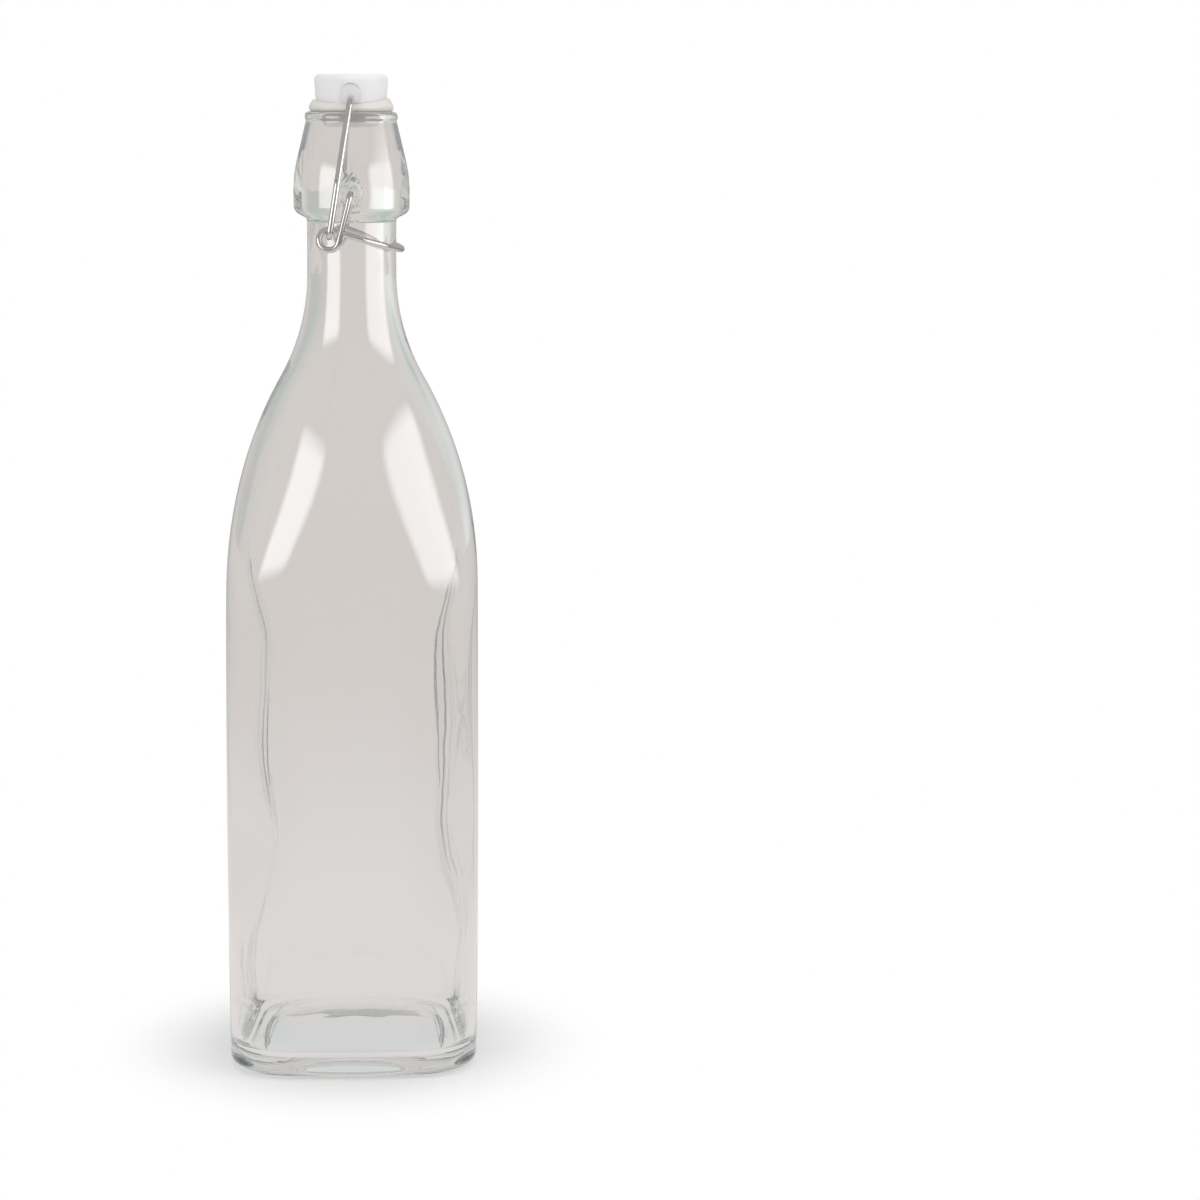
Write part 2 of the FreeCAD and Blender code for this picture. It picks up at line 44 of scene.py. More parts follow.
def putMesh(name, points, quads, tris=None, uv=None):  # arrays of corners and faces become one smooth object
    mesh = bpy.data.meshes.new(name)
    faces = quads.tolist() + ([] if tris is None else tris.tolist())
    mesh.from_pydata(points.tolist(), [], faces)
    mesh.polygons.foreach_set("use_smooth", np.ones(len(faces), dtype=bool))
    if uv is not None:
        layer = mesh.uv_layers.new(name="surface")
        corners = np.zeros(len(mesh.loops), dtype=np.int32)
        mesh.loops.foreach_get("vertex_index", corners)
        layer.data.foreach_set("uv", uv[corners].astype(np.float32).ravel())
    mesh.validate()
    mesh.update()
    piece = bpy.data.objects.new(name, mesh)
    bpy.context.scene.collection.objects.link(piece)
    return piece


def ringQuads(rows, columns):  # faces between neighbouring rings, each ring closed on itself
    row = np.arange(rows - 1)[:, None] * columns
    nextRow = row + columns
    here = np.arange(columns)[None, :]
    after = (here + 1) % columns
    return np.stack([row + here, row + after, nextRow + after, nextRow + here], -1).reshape(-1, 4)


def bandQuads(rows, columns):  # ring faces with the last ring joined to the first
    here = np.arange(columns)
    after = (here + 1) % columns
    last = (rows - 1) * columns
    closing = np.stack([last + here, last + after, after, here], 1)
    return np.concatenate([ringQuads(rows, columns), closing])


def poleTris(pole, firstCorner, columns, flip):  # a fan of triangles closes a ring on one point
    here = firstCorner + np.arange(columns)
    after = firstCorner + (np.arange(columns) + 1) % columns
    first, second = (after, here) if flip else (here, after)
    return np.stack([np.full(columns, pole), first, second], -1)


def closedRings(name, rings, startPole, endPole, uv=None):  # rings (rows, columns, 3) and a point at each end
    rows, columns = rings.shape[:2]
    points = np.concatenate([rings.reshape(-1, 3), [startPole], [endPole]])
    quads = ringQuads(rows, columns)
    count = rows * columns
    tris = np.concatenate([
        poleTris(count, 0, columns, True),
        poleTris(count + 1, count - columns, columns, False),
    ])
    return putMesh(name, points, quads, tris, uv)


# straight runs with a tangent arc of its own radius at every inner corner
def roundedProfile(corners, radii, steps):
    corners = np.asarray(corners, dtype=float)
    out = [corners[0]]
    for before, corner, after, radius in zip(corners[:-2], corners[1:-1], corners[2:], radii):
        inWay = (corner - before) / np.linalg.norm(corner - before)
        outWay = (after - corner) / np.linalg.norm(after - corner)
        turn = math.acos(np.clip(inWay @ outWay, -1, 1))
        reach = radius * math.tan(turn / 2)
        start = corner - inWay * reach
        aside = outWay - inWay * (inWay @ outWay)
        aside = aside / np.linalg.norm(aside)
        angle = np.linspace(0, turn, steps)[:, None]
        out.append(start + radius * (inWay * np.sin(angle) + aside * (1 - np.cos(angle))))
    out.append(corners[-1])
    return np.concatenate([np.atleast_2d(part) for part in out])


def evenStations(path, spacing):  # the same line with points at even steps along its length
    lengths = np.concatenate([[0], np.cumsum(np.linalg.norm(np.diff(path, axis=0), axis=1))])
    count = max(2, int(math.ceil(lengths[-1] / spacing)) + 1)
    wanted = np.linspace(0, lengths[-1], count)
    return np.stack([np.interp(wanted, lengths, path[:, axis]) for axis in range(path.shape[1])], 1)


def smoothStep(value, start, end):  # even rise from 0 to 1 with level ends
    share = np.clip((value - start) / (end - start), 0, 1)
    return share * share * (3 - 2 * share)


def between(level, low, lowSpan, top, topSpan):  # 0 below low and above top, 1 once both spans are passed
    return np.clip((top - level) / topSpan, 0, 1) * np.clip((level - low) / lowSpan, 0, 1)


# camera at the photograph's viewing angle

cameraSetup = {
    "place": (21.4 * mm, -1017.3 * mm, 320.6 * mm),
    "yaw": 3.281,  # degrees to the right of the bottle
    "pitch": 9.611,  # degrees downward
    "roll": 0.498,
    "lens": 95.64,
    "sensor": 36.0,
    "nearClip": 0.01,
}


def makeCamera(setup):
    data = bpy.data.cameras.new("photoCamera")
    data.lens = setup["lens"]
    data.sensor_width = setup["sensor"]
    data.clip_start = setup["nearClip"]
    camera = bpy.data.objects.new("photoCamera", data)
    bpy.context.scene.collection.objects.link(camera)
    turn = Matrix.Rotation(-math.radians(setup["yaw"]), 4, "Z")
    tilt = Matrix.Rotation(math.radians(90 - setup["pitch"]), 4, "X")
    roll = Matrix.Rotation(math.radians(setup["roll"]), 4, "Z")
    camera.matrix_world = Matrix.Translation(Vector(setup["place"])) @ turn @ tilt @ roll
    bpy.context.scene.camera = camera


makeCamera(cameraSetup)
print("camera set")


# glass bottle, lengths in millimetres

glass = {
    "half": 40.0, "corner": 19.0, "bodyHeight": 155.0, "swell": 0.37, "flatBow": 2.0,
    "roundFrom": 142.0, "roundTo": 205.0, "innerRoundFrom": 156.0,  # levels where the square turns round
    "heel": 4.0, "wall": 3.0, "floor": 6.0, "innerHeel": 4.5, "innerCorner": 23.0,
    "lowCorner": 17.5, "lowFrom": 35.0, "lowTo": 85.0,  # evener wall in the corners low down
    "cornerWave": 0.5, "rightThick": 1.5,  # uneven inner corners, with more glass on the right
    "cornerWaveRange": (20.0, 40.0, 180.0, 40.0),  # low level, fade, top level, fade
    "wave": 0.28, "outerShare": 0.12,  # unevenness of the blown inner face, and how much of it shows outside
    "waveRange": (10.0, 30.0, 285.0, 25.0),
    "floorCrown": 4.2, "floorReach": 33.0,
    "puntHalf": 29.5, "puntCorner": 3.0, "puntDepth": 6.5, "puntEdge": 3.1, "puntGap": 0.5, "roofLeast": 0.1,
    "puntSides": (  # upright sides of the hollow: offset outward, share of the roof's height
        (-0.2, 0.95), (-0.05, 0.80), (0.0, 0.55), (0.04, 0.28), (0.12, 0.1), (0.3, 0.0)),
    "shoulderHeight": 98.6, "balance": 0.667, "neckRadius": 14.1, "neckLength": 17.0, "neckRound": 1.4,
    "mouthRadius": 10.4, "mouthRound": 0.9, "mouthDepth": 8.0,
    "collarRadius": 18.3, "collarHeight": 30.8, "collarRise": 2.2, "collarBand": 11.4, "collarTop": 14.2,
    "bandRound": 3.0, "coneRound": 43.0,
    "collarJoin": 3.0, "collarLead": 2.9,  # below the collar, the neck's last row and the profile's start
    "rimRadius": 14.6, "rimHeight": 2.6, "rimStep": 0.25,
    "rimFootRound": 0.35, "rimLowRound": 0.3, "rimRound": 1.4,
    "pivotDrop": 25.0, "dimpleRadius": 3.5, "dimpleDepth": 3.2, "dimpleCurve": 1.15,
    "pilotRadius": 1.25, "pilotDepth": 5.2, "pilotSoft": 0.12,
    "pivotRagged": 0.12, "raggedReach": 7.5, "raggedCore": 2.0, "pressFrom": 10.0,
    "fineReach": 13.0,  # degrees beside the dimples with closer columns
}
glassSteps = {  # rows and columns of the grid
    "punt": 18, "foot": 7, "heel": 9, "body": 46, "shoulder": 54, "neck": 8, "arc": 16, "spacing": 0.45,
    "innerNeck": 16, "innerBody": 42, "innerHeel": 12, "floor": 20,
    "flat": 6, "fine": 19, "wide": 15, "plain": 18,
}


def glassLevels(g):
    neck = g["bodyHeight"] + g["shoulderHeight"]
    collar = neck + g["neckLength"]
    rimBase = collar + g["collarHeight"]
    return {"neck": neck, "collar": collar, "rimBase": rimBase, "rim": rimBase + g["rimHeight"]}


def shoulderHalf(level, g):  # straight swelling side, two tangent arcs over the shoulder, straight neck
    fall = g["half"] - g["neckRadius"]
    rise = g["shoulderHeight"]
    radiusSum = (rise ** 2 + fall ** 2) / (2 * fall)
    outerRadius = radiusSum * g["balance"]
    innerRadius = radiusSum - outerRadius
    above = np.clip(level - g["bodyHeight"], 0, rise)
    side = g["half"] + g["swell"] * np.sin(np.pi * np.clip(level / g["bodyHeight"], 0, 1))
    outward = g["half"] - outerRadius + np.sqrt(np.maximum(outerRadius ** 2 - above ** 2, 0))
    inward = g["neckRadius"] + innerRadius - np.sqrt(np.maximum(innerRadius ** 2 - (rise - above) ** 2, 0))
    curve = np.where(above <= rise * g["balance"], outward, inward)
    return np.where(level <= g["bodyHeight"], side, curve)


def wallAt(level, g):  # body wall that thickens evenly over the shoulder to the neck's wall
    share = np.clip((level - g["bodyHeight"]) / g["shoulderHeight"], 0, 1)
    return g["wall"] + (g["neckRadius"] - g["mouthRadius"] - g["wall"]) * share


def cornerAt(level, half, corner, start, end):  # corner radius that grows until the ring is a circle
    corner = np.minimum(corner, half)
    return corner + (half - corner) * smoothStep(level, start, end)


# point where a bowed square with round corners faces the direction turn, an arc on each flat and each corner
def squareRing(half, corner, turn, bow):
    corner = np.minimum(corner, half)
    lean = math.cos(bow) - math.sin(bow)
    flat = (half - corner * lean) / (1 - lean)
    quarter = np.round(turn / (np.pi / 2))
    local = turn - quarter * np.pi / 2
    place = (flat - corner) * math.sin(bow)
    onFlat = np.abs(local) <= bow
    x = np.where(onFlat, half - flat + flat * np.cos(local), place + corner * np.cos(local))
    y = np.where(onFlat, flat * np.sin(local), np.sign(local) * place + corner * np.sin(local))
    away = quarter * np.pi / 2
    return x * np.cos(away) - y * np.sin(away), x * np.sin(away) + y * np.cos(away)


def ringTurns(g, steps):  # directions round the bottle, closer together on the flats and beside the dimples
    bow, fineEnd, diagonal = g["flatBow"], g["fineReach"], 45.0
    flatPart = np.linspace(0, bow, steps["flat"])
    fine = np.linspace(bow, fineEnd, steps["fine"])[1:]
    wide = np.linspace(fineEnd, diagonal, steps["wide"])[1:]
    plain = np.linspace(bow, diagonal, steps["plain"])[1:]
    pivotSide = np.concatenate([flatPart, fine, wide])
    plainSide = np.concatenate([flatPart, plain])
    turns = []
    for quarter, side in ((0, plainSide), (1, pivotSide), (2, plainSide), (3, pivotSide)):
        both = np.concatenate([-side[:0:-1], side[:-1]])
        turns.append(quarter * 90.0 + both)
    return np.radians(np.concatenate(turns))


def addRows(rows, level, half, corner, roof=0, crown=0, wave=0):  # one line per ring
    level = np.asarray(level, dtype=float)
    rows.append(np.stack(np.broadcast_arrays(level, half, corner, roof, crown, wave), 1))


def addBase(rows, g, steps):  # roof and sides of the hollow, the ring that the bottle stands on, the heel
    spread = np.linspace(0, g["puntHalf"] - g["puntGap"], steps["punt"])[1:]
    addRows(rows, 0 * spread, spread, spread * g["puntCorner"] / g["puntHalf"], roof=1)
    edge, drop = np.array(g["puntSides"]).T
    addRows(rows, 0 * edge, g["puntHalf"] + edge, g["puntCorner"] + edge, roof=drop)
    share = np.linspace(0, 1, steps["foot"])[1:]
    startHalf = g["puntHalf"] + edge[-1]
    startCorner = g["puntCorner"] + edge[-1]
    footHalf = startHalf + (g["half"] - g["heel"] - startHalf) * share
    footCorner = startCorner + (g["corner"] - g["heel"] - startCorner) * share
    addRows(rows, 0 * share, footHalf, footCorner)
    angle = np.linspace(0, np.pi / 2, steps["heel"])[1:]
    inset = g["heel"] * (1 - np.sin(angle))
    addRows(rows, g["heel"] * (1 - np.cos(angle)), g["half"] - inset, g["corner"] - inset)


def addOutside(rows, g, steps, levels):
    level = np.concatenate([
        np.linspace(g["heel"], g["bodyHeight"], steps["body"])[1:],
        np.linspace(g["bodyHeight"], levels["neck"], steps["shoulder"])[1:],
        np.linspace(levels["neck"], levels["collar"] - g["collarJoin"], steps["neck"])[1:],
    ])
    half = shoulderHalf(level, g)
    addRows(rows, level, half, cornerAt(level, half, g["corner"], g["roundFrom"], g["roundTo"]))


def addMouth(rows, g, steps, levels):  # turned profile of the collar, the rim and the mouth
    collar, rimBase, rim = levels["collar"], levels["rimBase"], levels["rim"]
    bandLow = collar + g["collarRise"]
    profile = roundedProfile([
        (g["neckRadius"], collar - g["collarLead"]),
        (g["neckRadius"], collar),
        (g["collarRadius"], bandLow),
        (g["collarRadius"], bandLow + g["collarBand"]),
        (g["collarTop"], rimBase),
        (g["rimRadius"], rimBase + g["rimStep"]),
        (g["rimRadius"], rim),
        (g["mouthRadius"], rim),
        (g["mouthRadius"], rim - g["mouthDepth"]),
    ], [g[name] for name in (
        "neckRound", "bandRound", "coneRound", "rimFootRound", "rimLowRound", "rimRound", "mouthRound",
    )], steps["arc"])
    stations = evenStations(profile, steps["spacing"])
    addRows(rows, stations[:, 1], stations[:, 0], stations[:, 0])


def addInside(rows, g, steps, levels):  # inner face down to the floor that crowns over the hollow
    level = np.concatenate([
        np.linspace(levels["rim"] - g["mouthDepth"], levels["neck"], steps["innerNeck"])[1:],
        np.linspace(levels["neck"], g["bodyHeight"], steps["shoulder"])[1:],
        np.linspace(g["bodyHeight"], g["floor"] + g["innerHeel"], steps["innerBody"])[1:],
    ])
    half = shoulderHalf(level, g) - wallAt(level, g)
    share = smoothStep(level, g["lowFrom"], g["lowTo"])
    corner = g["lowCorner"] + (g["innerCorner"] - g["lowCorner"]) * share
    corner = cornerAt(level, half, corner, g["innerRoundFrom"], g["roundTo"])
    addRows(rows, level, half, corner, wave=between(level, *g["cornerWaveRange"]))
    angle = np.linspace(0, np.pi / 2, steps["innerHeel"])[1:]
    reach = g["innerHeel"] * (1 - np.cos(angle))
    innerHalf = g["half"] - g["wall"]
    heelLevel = g["floor"] + g["innerHeel"] * (1 - np.sin(angle))
    addRows(rows, heelLevel, innerHalf - reach, g["lowCorner"] - reach)
    share = np.linspace(0, 1, steps["floor"])[1:-1]
    shrink = (1 - share) * (innerHalf - g["innerHeel"])
    addRows(rows, g["floor"] + 0 * share, shrink, shrink * (g["lowCorner"] / innerHalf), crown=1)


def domeHeight(away, reach, rise):  # height of a ball's cap above its foot, at a distance from its middle
    radius = (reach ** 2 + rise ** 2) / (2 * rise)
    return rise - radius + np.sqrt(np.maximum(radius ** 2 - away ** 2, 0))


def blownPush(level, turn, inside, g):  # slow waves of the blown inner face, and a trace of others outside
    wobble = (np.sin(level / 17 + 2 * turn) + 0.7 * np.sin(level / 9.3 - 3 * turn + 1.1)
              + 0.5 * np.cos(level / 31 + 5 * turn + 0.4)) / 2.2
    trace = g["outerShare"] * (np.sin(level / 23 + 3 * turn) - 1)  # only inward
    return g["wave"] * np.where(inside, wobble, trace) * between(level, *g["waveRange"])


# depth of the cone and pilot hole that are pressed into the front and the back, with uneven glass round them
def pivotPress(x, z, pivot, g):
    away = np.hypot(x, z - pivot)
    coneShare = (g["dimpleRadius"] - away) / (g["dimpleRadius"] - g["pilotRadius"])
    cone = np.clip(coneShare, 0, 1) ** g["dimpleCurve"]
    pilot = np.clip((g["pilotRadius"] + g["pilotSoft"] - away) / (2 * g["pilotSoft"]), 0, 1)
    ragged = np.sin(2.9 * x + 1.7 * z) * np.sin(3.7 * z - 1.1 * x) + 0.6 * np.sin(5.3 * x - 4.1 * z + 0.8)
    uneven = g["pivotRagged"] * (ragged + 1) * smoothStep(away, g["raggedReach"], g["raggedCore"])
    return g["dimpleDepth"] * cone + (g["pilotDepth"] - g["dimpleDepth"]) * pilot + uneven


def makeGlass(g, steps):  # rings from under the base over the rim and down to the floor, each a bowed square
    levels = glassLevels(g)
    rows = []
    addBase(rows, g, steps)
    addOutside(rows, g, steps, levels)
    addMouth(rows, g, steps, levels)
    addInside(rows, g, steps, levels)
    rows = np.concatenate(rows)
    inside = (np.arange(len(rows)) > np.argmax(rows[:, 0]))[:, None]
    level, half, corner, roof, crown, wave = rows.T[:, :, None]
    turn = ringTurns(g, steps)[None, :]

    side = np.mod(np.floor(turn / (np.pi / 2)), 4)  # which of the four corners
    roll = np.sin(level / 15 + 1.9 * side) + 0.5 * np.sin(level / 8.2 + 2.3 * side + 0.7)  # two waves up each
    thick = np.where(np.cos(turn) > 0, g["rightThick"], 0)
    corner = corner + wave * (g["cornerWave"] * roll + thick)
    x, y = squareRing(half, corner, turn, math.radians(g["flatBow"]))
    away = np.hypot(x, y)
    roofHeight = g["puntEdge"] + domeHeight(away, g["puntHalf"], g["puntDepth"] - g["puntEdge"])
    crownHeight = np.maximum(domeHeight(away, g["floorReach"], g["floorCrown"]), 0)
    z = level + roof * np.maximum(roofHeight, g["roofLeast"]) + crown * crownHeight

    push = blownPush(level, turn, inside, g)
    x = x + push * np.cos(turn)
    y = y + push * np.sin(turn)
    press = pivotPress(x, z, levels["rim"] - g["pivotDrop"], g)
    y = y - np.sign(y) * np.where(inside | (np.abs(y) < g["pressFrom"]), 0, press)

    rings = np.stack([x, y, z], -1) * mm
    startPole = np.array([0, 0, g["puntDepth"]]) * mm
    endPole = np.array([0, 0, g["floor"] + g["floorCrown"]]) * mm
    piece = closedRings("bottleGlass", rings, startPole, endPole)
    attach(piece, "bottle")
    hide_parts("glass_bottle")
    return piece


glassPiece = makeGlass(glass, glassSteps)
rimLevel = glassLevels(glass)["rim"]
print("glass made", len(glassPiece.data.polygons))


# steel wires, lengths in millimetres

wire = {
    "radius": 1.0, "gap": 0.4, "legGap": 0.5, "tipReach": 4.95, "tipBend": 2.0,
    "eyeRadius": 3.1, "eyeOffset": 6.7, "eyeDrop": 14.25, "armSlope": 17.0, "bowOffset": -0.9,
    "hookBend": 2.0, "hookReach": 5.9, "barLevel": 4.0, "barOverhang": 1.2, "barBend": 2.5,
    "elbowRise": 2.5, "elbowBend": 20.0, "seatGap": 0.1, "endRound": 0.25,
    "sides": 28, "bendSteps": 14, "eyeSteps": 60, "bowSteps": 26,
    "endShares": (0.0, 0.15, 0.4, 0.7, 1.0),  # steps along the rounding of an end
    "aside": (0.50, 0.60, 0.62),  # a direction that no run of the wires follows
    "mapLength": 10.0,
}


# circle carried along the path, its ends rounded, with a map of length along the wire and place round it
def tubeAlong(name, path, w):
    away = np.gradient(path, axis=0)
    away /= np.linalg.norm(away, axis=1, keepdims=True)
    across = np.cross(away, np.array(w["aside"]))
    across /= np.linalg.norm(across, axis=1, keepdims=True)
    upward = np.cross(away, across)
    length = np.concatenate([[0], np.cumsum(np.linalg.norm(np.diff(path, axis=0), axis=1))])
    fromEnd = np.minimum(length, length[-1] - length)
    bite = np.maximum(w["endRound"] - fromEnd, 0)
    size = w["radius"] - w["endRound"] + np.sqrt(np.maximum(w["endRound"] ** 2 - bite ** 2, 0))
    turn = np.linspace(0, 2 * np.pi, w["sides"], endpoint=False)[None, :, None]
    ring = np.cos(turn) * across[:, None, :] + np.sin(turn) * upward[:, None, :]
    rings = path[:, None, :] + ring * size[:, None, None]
    along = np.repeat(length / w["mapLength"], w["sides"])
    around = np.tile(np.arange(w["sides"]) / w["sides"], len(path))
    uv = np.stack([along, np.abs(around * 2 - 1)], 1)  # there and back round the wire, so no seam shows
    uv = np.concatenate([uv, [[0, 0]], [[length[-1] / w["mapLength"], 0]]])
    return closedRings(name, rings * mm, path[0] * mm, path[-1] * mm, uv)


def endSteps(path, w):  # extra points close to both ends for the rounding
    near = np.array(w["endShares"]) * w["endRound"]
    startWay = (path[1] - path[0]) / np.linalg.norm(path[1] - path[0])
    endWay = (path[-2] - path[-1]) / np.linalg.norm(path[-2] - path[-1])
    first = path[0] + startWay * near[:, None]
    last = path[-1] + endWay * near[::-1][:, None]
    return np.concatenate([first, path[1:-1], last])


def bothSides(front, w):  # the front half of a wire, then its mirror image walked back
    back = front[::-1] * np.array([1, -1, 1])
    return endSteps(np.concatenate([front, back[1:]]), w)


def wirePlaces(w, g, rimLevel):  # depths of the wire layers and the turning points
    legDepth = g["collarRadius"] + w["legGap"] + w["radius"]
    step = 2 * w["radius"] + w["gap"]
    pivot = np.array([0, 0, rimLevel - g["pivotDrop"]])
    eye = pivot + np.array([-w["eyeOffset"], 0, -w["eyeDrop"]])
    bar = np.array([0, 0, rimLevel + w["barLevel"]])
    pull = (bar - eye) / np.linalg.norm(bar - eye)
    hook = eye + pull * (w["eyeRadius"] - 2 * w["radius"] - w["seatGap"])
    return {"leg": legDepth, "arm": legDepth - step, "bail": legDepth + step,
            "pivot": pivot, "eye": eye, "hook": hook, "bar": bar}


def makeLever(w, g, places):
    legDepth, armDepth, pivot, eye = places["leg"], places["arm"], places["pivot"], places["eye"]
    reach = math.hypot(w["eyeOffset"], w["eyeDrop"])
    toward = math.atan2(-w["eyeDrop"], -w["eyeOffset"])
    slope = math.radians(w["armSlope"])
    firstHeading = toward + math.asin(w["eyeRadius"] / reach)
    lastHeading = -2 * math.pi - slope
    share = np.linspace(0, 1, w["eyeSteps"])
    heading = firstHeading + (lastHeading - firstHeading) * share
    eyeTurn = np.stack([  # three quarters of a turn that steps inward from the leg to the arm
        eye[0] - w["eyeRadius"] * np.sin(heading),
        -legDepth + (legDepth - armDepth) * smoothStep(share, 0, 1),
        eye[2] + w["eyeRadius"] * np.cos(heading),
    ], 1)
    tip = pivot - np.array([0, g["collarRadius"] - w["tipReach"], 0])
    corner = pivot - np.array([0, legDepth, 0])
    leg = roundedProfile([tip, corner, eyeTurn[0]], [w["tipBend"]], w["bendSteps"])
    armWay = np.array([math.cos(slope), 0, -math.sin(slope)])
    bowStart = eyeTurn[-1] + armWay * (w["bowOffset"] - eyeTurn[-1][0]) / armWay[0]
    bowCentre = bowStart * np.array([1, 0, 1])
    angle = np.linspace(0, np.pi / 2, w["bowSteps"])[1:][:, None]
    bow = bowCentre + armDepth * (armWay * np.sin(angle) - np.array([0, 1, 0]) * np.cos(angle))
    front = np.concatenate([leg[:-1], eyeTurn, [bowStart], bow])
    piece = tubeAlong("leverWire", bothSides(front, w), w)
    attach(piece, "lever")
    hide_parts("lever_wire")
    return piece


def makeBail(w, g, places):
    bailDepth, pivot, hook, bar = places["bail"], places["pivot"], places["hook"], places["bar"]
    up = (bar - hook) / np.linalg.norm(bar - hook)
    out = np.array([0, 1, 0])
    hookCorner = hook - out * bailDepth
    elbow = hookCorner + up * (pivot[2] + w["elbowRise"] - hook[2]) / up[2]
    topCorner = bar - out * (g["rimRadius"] + w["barOverhang"])
    front = roundedProfile(
        [hook - out * (bailDepth - w["hookReach"]), hookCorner, elbow, topCorner, bar],
        [w["hookBend"], w["elbowBend"], w["barBend"]], w["bendSteps"])
    piece = tubeAlong("bailWire", bothSides(front, w), w)
    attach(piece, "bail")
    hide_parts("bail_wire")
    return piece


places = wirePlaces(wire, glass, rimLevel)
leverPiece = makeLever(wire, glass, places)
bailPiece = makeBail(wire, glass, places)
print("wires made", len(leverPiece.data.polygons) + len(bailPiece.data.polygons))


# gasket, lengths in millimetres from the rim

gasket = {
    "thickness": 1.5, "radius": 13.3, "topRadius": 12.0, "lip": 1.2, "sideLip": 1.5, "tilt": 0.25,
    "sleeve": 9.5, "sleeveTaper": 0.6, "bore": 8.1, "foot": -3.0, "headLow": 11.0, "seatGap": 0.1,
    "edgeIn": 0.4, "edgeRise": 0.9, "boreRun": 1.0, "lipGap": 0.4,
    "rounds": (0.2, 0.4, 0.3, 0.5, 0.6, 0.8, 0.45, 0.3, 0.1, 0.1),  # one for each corner of the section
    "arcSteps": 8, "columns": 120,
}


def makeGasket(k, rimLevel):  # closed section turned about the axis, its lip higher away from the wire
    seat = rimLevel + k["seatGap"]
    foot = rimLevel + k["foot"]
    base = rimLevel + k["thickness"]
    section = roundedProfile([
        (k["bore"], foot + k["boreRun"]),
        (k["bore"], foot),
        (k["sleeve"] - k["sleeveTaper"], foot),
        (k["sleeve"], seat),
        (k["radius"] - k["edgeIn"], seat),
        (k["radius"], rimLevel + k["edgeRise"]),
        (k["radius"], base),
        (k["topRadius"], base + k["lip"]),
        (k["headLow"] + k["lipGap"], base + k["lip"]),
        (k["headLow"] + k["seatGap"], base),
        (k["bore"], base),
        (k["bore"], base - k["boreRun"]),
    ], k["rounds"], k["arcSteps"])
    turn = np.linspace(0, 2 * np.pi, k["columns"], endpoint=False)[None, :]
    radius, height = section.T[:, :, None]
    high = np.clip((height - rimLevel) / (k["thickness"] + k["lip"]), 0, 1)
    rise = k["sideLip"] * np.cos(turn) ** 2 + k["tilt"] * (np.cos(turn) - 1)
    rings = np.stack([radius * np.cos(turn), radius * np.sin(turn), height + high ** 2 * rise], -1) * mm
    piece = putMesh("gasketRing", rings.reshape(-1, 3), bandQuads(*rings.shape[:2]))
    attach(piece, "closure")
    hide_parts("gasket")
    return piece


gasketPiece = makeGasket(gasket, rimLevel)
print("gasket made")


# web that closes the stopper's cross hole round the bail's bar, lengths in millimetres

web = {
    "radius": 3.3, "holeRise": 5.5, "barRadius": 1.04, "barRise": 4.0, "depth": 11.0, "thickness": 1.4,
    "columns": 48,
}


# two discs with a hole off their middle: rings run from the rim to the hole's edge and back
def makeWeb(k, rimLevel):
    turn = np.linspace(0, 2 * np.pi, k["columns"], endpoint=False)
    circle = np.stack([np.cos(turn), 0 * turn, np.sin(turn)], 1)
    inner = k["barRadius"] * circle + np.array([0, 0, rimLevel + k["barRise"]])
    outer = k["radius"] * circle + np.array([0, 0, rimLevel + k["holeRise"]])
    front = np.array([0, -k["depth"], 0])
    back = front + np.array([0, k["thickness"], 0])
    near = np.stack([outer + back, outer + front, inner + front, inner + back])
    far = near[::-1] * np.array([1, -1, 1])
    points = np.concatenate([near.reshape(-1, 3), far.reshape(-1, 3)]) * mm
    faces = bandQuads(len(near), k["columns"])
    piece = putMesh("holeWeb", points, np.concatenate([faces, faces + len(points) // 2]))
    piece.data.polygons.foreach_set("use_smooth", np.zeros(len(piece.data.polygons), dtype=bool))
    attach(piece, "closure")
    return piece


webPiece = makeWeb(web, rimLevel)
print("web made")


# shader helpers

def newMaterial(name):
    material = bpy.data.materials.new(name)
    material.use_nodes = True
    tree = material.node_tree
    shader = next(node for node in tree.nodes if node.type == "BSDF_PRINCIPLED")
    return material, tree, shader


def outputNode(tree):
    return next(node for node in tree.nodes if node.type == "OUTPUT_MATERIAL")


def dress(piece, material):
    piece.data.materials.clear()
    piece.data.materials.append(material)


def objectPlace(tree):
    return tree.nodes.new("ShaderNodeTexCoord").outputs["Object"]


def ownMap(tree):
    own = tree.nodes.new("ShaderNodeUVMap")
    own.uv_map = "surface"
    return own.outputs["UV"]


def addLightPath(tree):
    return tree.nodes.new("ShaderNodeLightPath").outputs


# a value's range becomes another range
def addRange(tree, value, fromMin, fromMax, toMin, toMax, way="LINEAR"):
    spread = tree.nodes.new("ShaderNodeMapRange")
    spread.interpolation_type = way
    spread.inputs["From Min"].default_value = fromMin
    spread.inputs["From Max"].default_value = fromMax
    spread.inputs["To Min"].default_value = toMin
    spread.inputs["To Max"].default_value = toMax
    tree.links.new(value, spread.inputs["Value"])
    return spread.outputs["Result"]


def addRamp(tree, value, fromMin, fromMax, toMin=0.0, toMax=1.0):  # smooth step of a value
    return addRange(tree, value, fromMin, fromMax, toMin, toMax, "SMOOTHSTEP")


def addMath(tree, operation, first, second):
    node = tree.nodes.new("ShaderNodeMath")
    node.operation = operation
    tree.links.new(first, node.inputs[0])
    if isinstance(second, (int, float)):
        node.inputs[1].default_value = second
    else:
        tree.links.new(second, node.inputs[1])
    return node.outputs[0]


